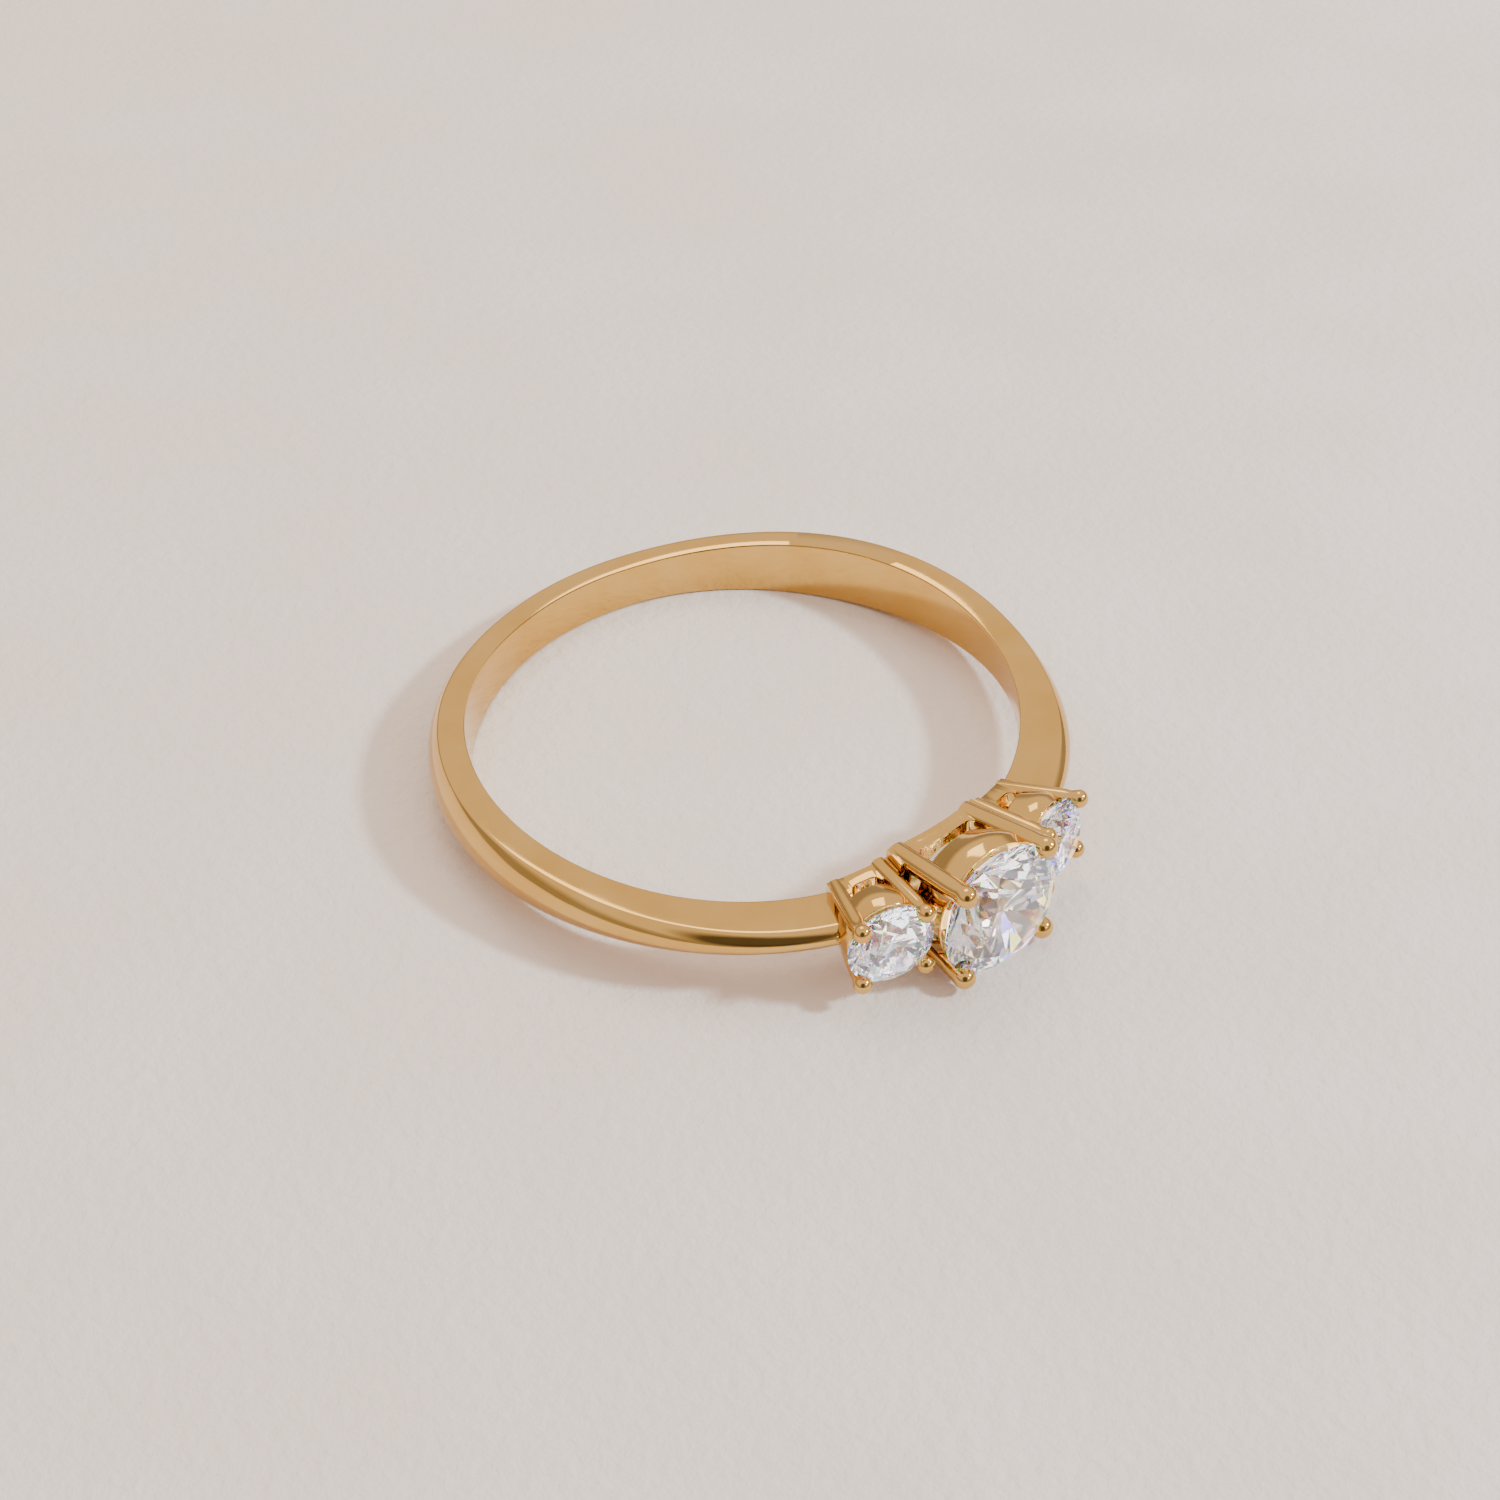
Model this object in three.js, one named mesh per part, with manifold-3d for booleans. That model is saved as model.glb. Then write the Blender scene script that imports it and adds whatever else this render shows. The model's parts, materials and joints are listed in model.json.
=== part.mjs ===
// A three-stone engagement ring in yellow gold, lying on its side as it rests on a table.
//
// Millimetres. The ring is first drawn in its own frame: the finger axis is Z, the head with the
// three stones points to -Y and the back of the shank to +Y. The whole ring is then leaned over
// by the few degrees that its wide head lifts it, and set down with its lowest point at Z = 0.
import * as THREE from "three";
import { mergeVertices } from "three/addons/utils/BufferGeometryUtils.js";
import Module from "manifold-3d";

const wasm = await Module();
wasm.setup();

// ---------------------------------------------------------------- driving dimensions

const BORE_RADIUS = 8.6; // finger hole, 17.2 mm across
const SOLDER_GAP = 0.02; // film of solder between two pieces of gold
const SEAT_GAP = 0.02; // between a stone and the gold that holds it

// The shank is widest at its sides and pinched at the shoulders. Angles are degrees from the back.
const SHANK = {
  backHalfWidth: 0.76,
  sideHalfWidth: 1.03,
  shoulderHalfWidth: 0.38,
  backThickness: 1.25,
  sideThickness: 1.24,
  shoulderThickness: 1.68,
  backDome: 0.44, // how far the arched outer face stands above the edges of the flat flanks
  shoulderDome: 0.3,
  innerBevel: 0.1,
  backFlatEnd: 12, // the flanks are truly flat and parallel up to here
  widestAt: 65,
  thickAt: 100,
  step: 4,
  domeSegments: 10,
};

// One set of sizes for each kind of setting. Heights are out from the finger, along the stone's axis:
// base rail on the finger hole, open slot, conical seat ring, stone.
const CENTRE = {
  stoneRadius: 2.1,
  baseThickness: 0.56,
  slotHeight: 0.52,
  ringHeight: 1.34,
  girdleAboveRing: 0.34,
  ringInset: 0.12, // rim of the seat ring inside the girdle
  ringTaper: 0.3, // how much smaller the seat ring is at its foot
  ringWall: 0.34,
  baseHole: 0.95,
  prongRadius: 0.32,
  prongOutset: 0.09, // prong's middle outside the girdle, at its tip
  prongSplay: 0.22, // prong's foot nearer the stone's axis than its tip, round the finger
  splayInner: 0.48, // the same along the finger, for the prongs next to the head's middle
  splayOuter: 0.48, // and for those towards the shank
  beadAboveGirdle: 0.24,
  prongProud: 0.08, // prong's foot proud of the base rail's flank
};
const SIDE = {
  stoneRadius: 1.33,
  baseThickness: 0.5,
  slotHeight: 0.42,
  ringHeight: 1.08,
  girdleAboveRing: 0.26,
  ringInset: 0.12,
  ringTaper: 0.12,
  ringWall: 0.34,
  baseHole: 0.45,
  prongRadius: 0.25,
  prongOutset: 0.05,
  prongSplay: 0.3,
  splayInner: 0.13,
  splayOuter: 0.44,
  beadAboveGirdle: 0.24,
  prongProud: 0.06,
};
const RAIL_STEP = 3; // degrees of a base rail's curve

// Proportions of a round brilliant cut, as shares of its radius or as angles in degrees.
const CUT = {
  table: 0.57,
  crownAngle: 34.5,
  pavilionAngle: 40.8,
  girdle: 0.055,
  starLength: 0.5,
  lowerHalfLength: 0.77,
  girdleSides: 48,
};
const FACET_FOLD = 8; // mains round the stone

const WIRE_SIDES = 20;
const TIP_RINGS = 5;
const RING_SIDES = 48;
const BORE_SIDES = 180;
const CUTTER_LENGTH = 8; // anything longer than the head is deep

const GOLD = new THREE.MeshStandardMaterial({ color: 0xe0ac62, metalness: 1, roughness: 0.16 });
const DIAMOND = new THREE.MeshStandardMaterial({ color: 0xf4f6fb, metalness: 0, roughness: 0.02 });

// ---------------------------------------------------------------- small helpers

const radians = THREE.MathUtils.degToRad;
const degrees = THREE.MathUtils.radToDeg;
const { lerp, smoothstep } = THREE.MathUtils;

// The closed solid that a geometry bounds.
function solidOf(geometry) {
  const bare = new THREE.BufferGeometry();
  bare.setAttribute("position", geometry.getAttribute("position"));
  bare.setIndex(geometry.getIndex());
  const merged = mergeVertices(bare, 1e-5);
  return new wasm.Manifold(
    new wasm.Mesh({
      numProp: 3,
      vertProperties: merged.getAttribute("position").array,
      triVerts: new Uint32Array(merged.getIndex().array),
    }),
  );
}

function geometryOf(solid) {
  const mesh = solid.getMesh();
  const geometry = new THREE.BufferGeometry();
  geometry.setAttribute("position", new THREE.BufferAttribute(mesh.vertProperties, 3));
  geometry.setIndex(new THREE.BufferAttribute(mesh.triVerts, 1));
  const flat = geometry.toNonIndexed();
  flat.computeVertexNormals();
  return flat;
}

function namedMesh(name, solid, material) {
  const mesh = new THREE.Mesh(geometryOf(solid), material);
  mesh.name = name;
  return mesh;
}

// A solid through a row of convex outlines with equal numbers of points, closed at both ends.
function loft(outlines) {
  const sides = outlines[0].length;
  const last = outlines.length - 1;
  const points = outlines.flat();
  const index = [];
  for (let row = 0; row < last; row++) {
    for (let i = 0; i < sides; i++) {
      const a = row * sides + i;
      const b = row * sides + ((i + 1) % sides);
      index.push(a, a + sides, b, b, a + sides, b + sides);
    }
  }
  for (const row of [0, last]) {
    const middle = points.length;
    points.push(centreOf(outlines[row]));
    for (let i = 0; i < sides; i++) {
      const a = row * sides + i;
      const b = row * sides + ((i + 1) % sides);
      if (row === 0) index.push(middle, a, b);
      else index.push(middle, b, a);
    }
  }
  return solidOf(new THREE.BufferGeometry().setFromPoints(points).setIndex(index));
}

function centreOf(outline) {
  const sum = outline.reduce((total, p) => total.add(p), new THREE.Vector3());
  return sum.divideScalar(outline.length);
}

// A solid turned about Z from a profile of [radius, height] points that closes on itself.
function turned(profile, sides) {
  const points = [...profile, profile[0]].map(([radius, height]) => new THREE.Vector2(radius, height));
  return solidOf(new THREE.LatheGeometry(points, sides).rotateX(Math.PI / 2));
}

// ---------------------------------------------------------------- stones

function polar(radius, at, height) {
  const angle = radians(at);
  return new THREE.Vector3(radius * Math.cos(angle), radius * Math.sin(angle), height);
}

// Heights of a brilliant of this radius: crown above the girdle, girdle, pavilion below it.
function stoneHeights(radius) {
  return {
    crown: radius * (1 - CUT.table) * Math.tan(radians(CUT.crownAngle)),
    girdle: radius * CUT.girdle,
    pavilion: radius * Math.tan(radians(CUT.pavilionAngle)),
  };
}

// Grinds one flat facet, through three points, off a stone that contains the origin.
function grind(stone, a, b, c) {
  const plane = new THREE.Plane().setFromCoplanarPoints(a, b, c);
  if (plane.constant > 0) plane.negate();
  const { x, y, z } = plane.normal;
  return stone.trimByPlane([-x, -y, -z], plane.constant);
}

// A round brilliant on the Z axis, its table up and the bottom of its girdle at Z = 0.
function brilliant(radius) {
  const { crown, girdle, pavilion } = stoneHeights(radius);
  const step = 360 / FACET_FOLD;
  const half = Math.cos(radians(step / 2));
  const tableRadius = radius * CUT.table;
  const starRadius = lerp(tableRadius * half, radius, CUT.starLength);
  const starHeight = (crown * (radius - starRadius * half)) / (radius - tableRadius);
  const lowerRadius = radius * (1 - CUT.lowerHalfLength);
  const lowerHeight = (-pavilion * (radius - lowerRadius * half)) / radius;

  const blank = new THREE.CylinderGeometry(radius, radius, crown + girdle + pavilion, CUT.girdleSides)
    .rotateX(Math.PI / 2)
    .translate(0, 0, (crown + girdle - pavilion) / 2);
  let stone = solidOf(blank);
  for (let k = 0; k < FACET_FOLD; k++) {
    const at = k * step;
    const table = polar(tableRadius, at, girdle + crown);
    const nextTable = polar(tableRadius, at + step, girdle + crown);
    const star = polar(starRadius, at + step / 2, girdle + starHeight);
    const lower = polar(lowerRadius, at + step / 2, lowerHeight);
    const culet = new THREE.Vector3(0, 0, -pavilion);
    stone = grind(stone, table, star, polar(radius, at, girdle));
    stone = grind(stone, table, nextTable, star);
    stone = grind(stone, culet, lower, polar(radius, at, 0));
    for (const side of [0, step / 2]) {
      const from = at + side;
      const to = from + step / 2;
      stone = grind(stone, star, polar(radius, from, girdle), polar(radius, to, girdle));
      stone = grind(stone, lower, polar(radius, from, 0), polar(radius, to, 0));
    }
  }
  return stone;
}

// ---------------------------------------------------------------- settings
// A setting is drawn on the axis of its stone: Z out from the finger axis, Y along the finger.

const ringFootAt = (setting) => BORE_RADIUS + setting.baseThickness + setting.slotHeight;
const ringRimAt = (setting) => ringFootAt(setting) + setting.ringHeight;
const girdleAt = (setting) => ringRimAt(setting) + setting.girdleAboveRing;
const ringRimRadius = (setting) => setting.stoneRadius - setting.ringInset;
const ringFootRadius = (setting) => ringRimRadius(setting) - setting.ringTaper;
const prongTipOffset = (setting) => (setting.stoneRadius + setting.prongOutset) * Math.SQRT1_2;
const prongFootOffset = (setting) => prongTipOffset(setting) - setting.prongSplay;

// How far along the finger a prong's foot stands; inward is 1 next to the head's middle, else 0.
function prongFootAlong(setting, inward) {
  return prongTipOffset(setting) - lerp(setting.splayOuter, setting.splayInner, inward);
}

// Half the angle that a setting takes up round the finger hole, out to its prongs' feet.
function halfAngle(setting) {
  return degrees(Math.asin((prongFootOffset(setting) + setting.prongRadius) / BORE_RADIUS));
}

// The side settings stand next to the centre one, with only the solder between their feet.
const CENTRE_RAIL_END = halfAngle(CENTRE);
const SIDE_RAIL_START = CENTRE_RAIL_END + degrees(SOLDER_GAP / BORE_RADIUS);
const SIDE_ANGLE = SIDE_RAIL_START + halfAngle(SIDE);
const SHOULDER_AT = 180 - SIDE_ANGLE - halfAngle(SIDE); // where the shank meets a side setting
const SHANK_END = 180 - SIDE_ANGLE; // it is drawn to here, then cut off flush with the setting

function bore() {
  return solidOf(new THREE.CylinderGeometry(BORE_RADIUS, BORE_RADIUS, CUTTER_LENGTH, BORE_SIDES));
}

// Where one prong stands: its foot on the finger hole and the middle of its rounded tip. sideX and
// sideY say which corner, and outward is +1 or -1 for the side of the setting towards the shank.
function prongEnds(setting, sideX, sideY, outward) {
  const inward = sideX === outward ? 0 : 1;
  const tip = prongTipOffset(setting);
  const tipAt = girdleAt(setting) + setting.beadAboveGirdle;
  const along = prongFootAlong(setting, inward);
  return {
    foot: new THREE.Vector3(sideX * prongFootOffset(setting), sideY * along, BORE_RADIUS),
    tip: new THREE.Vector3(sideX * tip, sideY * tip, tipAt),
  };
}

// A straight round wire with a rounded tip. It reaches past its foot, for the bore to cut.
function prongWire(setting, sideX, sideY, outward, extra = 0) {
  const { foot, tip } = prongEnds(setting, sideX, sideY, outward);
  const radius = setting.prongRadius + extra;
  const length = tip.distanceTo(foot) + 2 * setting.prongRadius;
  const profile = [new THREE.Vector2(0, -length)];
  for (let i = -1; i < TIP_RINGS; i++) {
    const angle = (Math.max(i, 0) / TIP_RINGS) * (Math.PI / 2);
    const height = i < 0 ? -length : radius * Math.sin(angle);
    profile.push(new THREE.Vector2(radius * Math.cos(angle), height));
  }
  profile.push(new THREE.Vector2(0, radius));
  const direction = tip.clone().sub(foot).normalize();
  const wire = new THREE.LatheGeometry(profile, WIRE_SIDES)
    .applyQuaternion(new THREE.Quaternion().setFromUnitVectors(THREE.Object3D.DEFAULT_UP, direction))
    .translate(...tip);
  return solidOf(wire);
}

function prong(setting, sideX, sideY, outward) {
  const notch = brilliant(setting.stoneRadius + SEAT_GAP).translate([0, 0, girdleAt(setting)]);
  return prongWire(setting, sideX, sideY, outward).subtract(bore()).subtract(notch);
}

function stone(setting) {
  return brilliant(setting.stoneRadius).translate([0, 0, girdleAt(setting)]);
}

// The channel that a prong's wire takes in the corner of a rail: round inside, open outwards.
function prongChannel(setting, sideX, sideY, outward) {
  const wire = prongWire(setting, sideX, sideY, outward, SOLDER_GAP);
  const outside = wire.translate([0, sideY * 2 * setting.prongRadius, 0]);
  return wasm.Manifold.hull([wire, outside]);
}

function withoutProngs(solid, setting, outward) {
  let cut = solid;
  for (const sideX of [-1, 1]) {
    for (const sideY of [-1, 1]) cut = cut.subtract(prongChannel(setting, sideX, sideY, outward));
  }
  return cut;
}

// The conical ring that the stone's pavilion sits in, notched at its corners for the prongs.
function seatRing(setting, outward) {
  const foot = ringFootAt(setting);
  const rim = ringRimAt(setting);
  const slope = Math.tan(radians(CUT.pavilionAngle));
  const seatRadius = setting.stoneRadius + SEAT_GAP - setting.girdleAboveRing / slope;
  const throatRadius = ringFootRadius(setting) - setting.ringWall;
  const profile = [
    [throatRadius, foot],
    [ringFootRadius(setting), foot],
    [ringRimRadius(setting), rim],
    [seatRadius, rim],
    [throatRadius, rim - (seatRadius - throatRadius) * slope],
  ];
  return withoutProngs(turned(profile, RING_SIDES), setting, outward);
}

// The curved rail under one stone, its flanks following the feet of the prongs.
function baseRail(setting, outward) {
  const half = halfAngle(setting);
  const outer = BORE_RADIUS + setting.baseThickness;
  const steps = Math.ceil((2 * half) / RAIL_STEP);
  const outlines = [];
  for (let i = 0; i <= steps; i++) {
    const inward = outward > 0 ? 1 - i / steps : i / steps;
    const reach = prongFootAlong(setting, inward) + setting.prongRadius;
    const halfWidth = reach - setting.prongProud;
    const around = radians(lerp(-half, half, i / steps));
    const point = (radius, y) => new THREE.Vector3(radius * Math.sin(around), y, radius * Math.cos(around));
    outlines.push([
      point(BORE_RADIUS, -halfWidth),
      point(outer, -halfWidth),
      point(outer, halfWidth),
      point(BORE_RADIUS, halfWidth),
    ]);
  }
  const hole = new THREE.CylinderGeometry(setting.baseHole, setting.baseHole, CUTTER_LENGTH, WIRE_SIDES)
    .rotateX(Math.PI / 2)
    .translate(0, 0, BORE_RADIUS);
  return withoutProngs(loft(outlines).subtract(solidOf(hole)), setting, outward);
}

// All the pieces of one setting, in a group that stands on the finger axis at an angle. The shank
// lies on the side that it is turned to.
function settingGroup(name, setting, angle) {
  const outward = angle < 0 ? -1 : 1;
  const axis = new THREE.Group();
  axis.rotation.x = Math.PI / 2;
  axis.add(namedMesh(`${name}_base_rail`, baseRail(setting, outward), GOLD));
  axis.add(namedMesh(`${name}_seat_ring`, seatRing(setting, outward), GOLD));
  for (const [height, sideY] of [["upper", 1], ["lower", -1]]) {
    for (const [side, sideX] of [["left", -1], ["right", 1]]) {
      const solid = prong(setting, sideX, sideY, outward);
      axis.add(namedMesh(`${name}_prong_${height}_${side}`, solid, GOLD));
    }
  }
  axis.add(namedMesh(`${name}_stone`, stone(setting), DIAMOND));
  const turnedToPlace = new THREE.Group();
  turnedToPlace.rotation.z = radians(angle);
  turnedToPlace.add(axis);
  return turnedToPlace;
}

// ---------------------------------------------------------------- shank

function shankHalfWidth(at) {
  const { backHalfWidth, sideHalfWidth, shoulderHalfWidth, backFlatEnd, widestAt } = SHANK;
  if (at < widestAt) {
    return lerp(backHalfWidth, sideHalfWidth, smoothstep(at, backFlatEnd, widestAt));
  }
  return lerp(sideHalfWidth, shoulderHalfWidth, smoothstep(at, widestAt, SHOULDER_AT));
}

function shankThickness(at) {
  const { backThickness, sideThickness, shoulderThickness, thickAt } = SHANK;
  if (at < thickAt) return lerp(backThickness, sideThickness, smoothstep(at, 0, thickAt));
  return lerp(sideThickness, shoulderThickness, smoothstep(at, thickAt, SHOULDER_AT));
}

function shankDome(at) {
  return lerp(SHANK.backDome, SHANK.shoulderDome, smoothstep(at, 0, SHOULDER_AT));
}

// Outermost radius of the flat flank at an angle from the back.
function flankRadius(at) {
  return BORE_RADIUS + shankThickness(at) - shankDome(at);
}

// Outline of the shank: flat inside with bevelled edges, flat flanks and an arched outer face.
function shankOutline(at) {
  const halfWidth = shankHalfWidth(Math.abs(at));
  const flank = flankRadius(Math.abs(at));
  const dome = shankDome(Math.abs(at));
  const bevel = SHANK.innerBevel;
  const around = radians(at);
  const point = (radius, z) => new THREE.Vector3(radius * Math.sin(around), radius * Math.cos(around), z);
  const outline = [
    point(BORE_RADIUS + bevel, -halfWidth),
    point(BORE_RADIUS, bevel - halfWidth),
    point(BORE_RADIUS, halfWidth - bevel),
    point(BORE_RADIUS + bevel, halfWidth),
  ];
  for (let i = 0; i <= SHANK.domeSegments; i++) {
    const across = 1 - (2 * i) / SHANK.domeSegments;
    outline.push(point(flank + dome * (1 - across ** 2), halfWidth * across));
  }
  return outline;
}

// The room that a side setting needs, which the end of the shank is cut back to: its base and feet,
// and its seat ring, all with the solder's gap.
function sideRoom(angle) {
  const halfWidth = prongFootOffset(SIDE) + SIDE.prongRadius + SOLDER_GAP;
  const foot = ringFootAt(SIDE);
  const rim = girdleAt(SIDE);
  const footRadius = ringFootRadius(SIDE) + SOLDER_GAP;
  const rimRadius = SIDE.stoneRadius + SOLDER_GAP;
  const base = new THREE.BoxGeometry(2 * halfWidth, CUTTER_LENGTH, CUTTER_LENGTH).translate(0, 0, rim);
  const cone = turned([[0, foot], [footRadius, foot], [rimRadius, rim], [0, rim]], RING_SIDES);
  return solidOf(base).add(cone).rotate([90, 0, 0]).rotate([0, 0, angle]);
}

function shank() {
  const outlines = [];
  const steps = Math.ceil((2 * SHANK_END) / SHANK.step);
  for (let i = 0; i <= steps; i++) outlines.push(shankOutline(lerp(-SHANK_END, SHANK_END, i / steps)));
  return loft(outlines).subtract(sideRoom(SIDE_ANGLE)).subtract(sideRoom(-SIDE_ANGLE));
}

// ---------------------------------------------------------------- the ring at rest

// The lean at which the ring touches the table with its head and with the back of its shank.
function restLean() {
  const touches = [
    { out: girdleAt(CENTRE), drop: CENTRE.stoneRadius },
    { out: girdleAt(CENTRE), drop: prongTipOffset(CENTRE) + CENTRE.prongRadius },
    { out: BORE_RADIUS, drop: prongFootAlong(CENTRE, 1) + CENTRE.prongRadius },
  ];
  return Math.max(...touches.map(leanAgainstShank));
}

// The steepest lean, about a point of the head, at which no part of the shank sinks in.
function leanAgainstShank({ out, drop }) {
  let slope = Infinity;
  for (let at = 0; at <= SHANK.thickAt; at += SHANK.step) {
    const apart = out + flankRadius(at) * Math.cos(radians(at));
    slope = Math.min(slope, (drop - shankHalfWidth(at)) / apart);
  }
  return Math.atan(slope);
}

const ring = new THREE.Group();
ring.add(namedMesh("shank", shank(), GOLD));
ring.add(settingGroup("centre", CENTRE, 0));
ring.add(settingGroup("left", SIDE, -SIDE_ANGLE));
ring.add(settingGroup("right", SIDE, SIDE_ANGLE));
ring.rotation.x = -restLean();

const laidRing = new THREE.Group();
laidRing.add(ring);
laidRing.updateMatrixWorld(true);
const box = new THREE.Box3().setFromObject(laidRing, true);
const middle = box.getCenter(new THREE.Vector3());
ring.position.set(-middle.x, -middle.y, -box.min.z);

export default laidRing;
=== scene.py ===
"""A three-stone engagement ring in polished yellow gold, lying on its side on pale paper.

The gold pieces are modelled here as smooth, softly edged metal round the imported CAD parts, and the
three brilliants keep their CAD facets. Sizes are in millimetres where a name ends in _mm, and in
metres everywhere else.
"""
import json
import logging
import math
from collections.abc import Callable, Iterator
from contextlib import contextmanager
from dataclasses import dataclass
from enum import Enum

import bmesh
import bpy
from mathutils import Matrix, Vector


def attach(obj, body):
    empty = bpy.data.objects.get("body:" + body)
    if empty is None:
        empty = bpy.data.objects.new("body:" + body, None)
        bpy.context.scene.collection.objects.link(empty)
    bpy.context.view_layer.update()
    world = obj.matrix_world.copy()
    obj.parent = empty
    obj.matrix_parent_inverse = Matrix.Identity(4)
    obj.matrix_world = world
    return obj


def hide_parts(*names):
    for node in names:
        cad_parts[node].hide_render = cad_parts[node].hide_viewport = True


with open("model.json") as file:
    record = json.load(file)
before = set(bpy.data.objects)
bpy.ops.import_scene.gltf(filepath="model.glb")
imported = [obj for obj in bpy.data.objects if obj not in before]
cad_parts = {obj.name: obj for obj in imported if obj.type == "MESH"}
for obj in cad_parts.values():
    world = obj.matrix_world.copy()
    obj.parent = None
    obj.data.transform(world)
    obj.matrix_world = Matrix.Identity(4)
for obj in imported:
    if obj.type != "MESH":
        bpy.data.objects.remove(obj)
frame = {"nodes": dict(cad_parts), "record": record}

MM = 0.001
LOG = logging.getLogger("ring")


# ------------------------------------------------------------------ shared helpers


def linear(hex_colour: str, alpha: float = 1.0) -> tuple[float, float, float, float]:
    """Turns an sRGB hex colour into the linear values that shaders take.

    Args:
        hex_colour: Six hex digits, with or without a leading hash.
        alpha: The fourth value of the result.

    Returns:
        Linear red, green, blue and alpha.
    """
    digits = hex_colour.lstrip("#")
    channels = [int(digits[i : i + 2], 16) / 255 for i in (0, 2, 4)]
    return (*[c / 12.92 if c <= 0.04045 else ((c + 0.055) / 1.055) ** 2.4 for c in channels], alpha)


def mix(first: float, last: float, share: float) -> float:
    """Returns the value a share of the way from the first to the last."""
    return first + (last - first) * share


def ease_between(value: float, start: float, end: float) -> float:
    """Returns 0 at start and 1 at end, with a gentle curve between them."""
    share = min(max((value - start) / (end - start), 0.0), 1.0)
    return share * share * (3 - 2 * share)


def add_node(tree: bpy.types.NodeTree, kind: str, settings: dict | None = None, **inputs) -> bpy.types.Node:
    """Adds one node, with its settings, its input values and its incoming links.

    Args:
        tree: The node tree that it goes into.
        kind: The node's type name.
        settings: Properties of the node itself.
        **inputs: Input sockets by name, spaces as underscores: a value, or a socket to link from.

    Returns:
        The new node.
    """
    node = tree.nodes.new(kind)
    for name, value in (settings or {}).items():
        setattr(node, name, value)
    for name, value in inputs.items():
        key = int(name[1:]) if name[0] == "_" and name[1:].isdigit() else name.replace("_", " ")
        if isinstance(value, bpy.types.NodeSocket):
            tree.links.new(value, node.inputs[key])
        else:
            node.inputs[key].default_value = value
    return node


def blank_material(name: str) -> tuple[bpy.types.Material, bpy.types.NodeTree]:
    """Makes a material with an empty node tree.

    Args:
        name: The material's name.

    Returns:
        The material and its node tree.
    """
    material = bpy.data.materials.new(name)
    material.use_nodes = True
    material.node_tree.nodes.clear()
    return material, material.node_tree


# ------------------------------------------------------------------ shaping by hand


def deselect() -> None:
    """Deselects everything, so that the next operator acts on one piece only."""
    bpy.ops.object.select_all(action="DESELECT")


def take_up(piece: bpy.types.Object) -> None:
    """Makes one piece the only selected and active object.

    Args:
        piece: The object to work on.
    """
    deselect()
    piece.select_set(True)
    bpy.context.view_layer.objects.active = piece


@contextmanager
def editing(piece: bpy.types.Object) -> Iterator[None]:
    """Opens a piece in edit mode, and closes it again afterwards.

    Args:
        piece: The object to edit.

    Yields:
        Nothing, while the piece is open.
    """
    take_up(piece)
    bpy.ops.object.mode_set(mode="EDIT")
    bpy.ops.mesh.select_all(action="SELECT")
    yield
    bpy.ops.object.mode_set(mode="OBJECT")


def pick(piece: bpy.types.Object, kind: str, test: Callable[[list[Vector]], bool]) -> None:
    """Selects the vertices, edges or faces of an open piece whose corners pass a test.

    Args:
        piece: The object that is open in edit mode.
        kind: VERT, EDGE or FACE.
        test: Takes an element's corners and says whether it is wanted.
    """
    bpy.ops.mesh.select_mode(type=kind)
    bpy.ops.mesh.select_all(action="DESELECT")
    mesh = bmesh.from_edit_mesh(piece.data)
    if kind == "VERT":
        for vertex in mesh.verts:
            vertex.select = test([vertex.co])
    else:
        for item in mesh.edges if kind == "EDGE" else mesh.faces:
            if test([v.co for v in item.verts]):
                item.select_set(True)
    bmesh.update_edit_mesh(piece.data)


def resize(x: float, y: float, z: float, about: tuple[float, float, float] = (0, 0, 0)) -> None:
    """Scales the selection about a point."""
    bpy.ops.transform.resize(value=(x, y, z), center_override=about)


def settle(piece: bpy.types.Object, matrix: Matrix) -> bpy.types.Object:
    """Moves a piece by a matrix and leaves the move in its mesh.

    Args:
        piece: The object to move.
        matrix: Where its own frame goes.

    Returns:
        The piece.
    """
    piece.matrix_world = matrix @ piece.matrix_world
    take_up(piece)
    bpy.ops.object.transform_apply(location=True, rotation=True, scale=True)
    return piece


def apply_modifier(piece: bpy.types.Object, kind: str, **settings) -> None:
    """Adds one modifier and applies it.

    Args:
        piece: The object that it changes.
        kind: The modifier's type.
        **settings: The modifier's own properties.
    """
    take_up(piece)
    modifier = piece.modifiers.new(kind.lower(), kind)
    for name, value in settings.items():
        setattr(modifier, name, value)
    bpy.ops.object.modifier_apply(modifier=modifier.name)


def cut_away(piece: bpy.types.Object, *cutters: bpy.types.Object) -> None:
    """Cuts the shapes of other objects out of a piece, and throws the cutters away.

    Args:
        piece: The object that is cut.
        *cutters: The closed shapes to cut with.
    """
    for cutter in cutters:
        apply_modifier(piece, "BOOLEAN", operation="DIFFERENCE", solver="EXACT", object=cutter)
        bpy.data.objects.remove(cutter, do_unlink=True)


def cylinder(radius: float, depth: float, middle: Vector, sides: int = 64) -> bpy.types.Object:
    """Adds a round bar along Z, as a blank or as a cutter.

    Args:
        radius: Its radius.
        depth: Its length.
        middle: Its middle point.
        sides: Faces round it.

    Returns:
        The bar.
    """
    deselect()
    bpy.ops.mesh.primitive_cylinder_add(vertices=sides, radius=radius, depth=depth, location=middle)
    return bpy.context.object


@dataclass(frozen=True)
class BandStation:
    """One cross-section of a band: half its width, the height of its flank and that of its dome."""

    half_width: float
    flank: float
    dome: float


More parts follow.
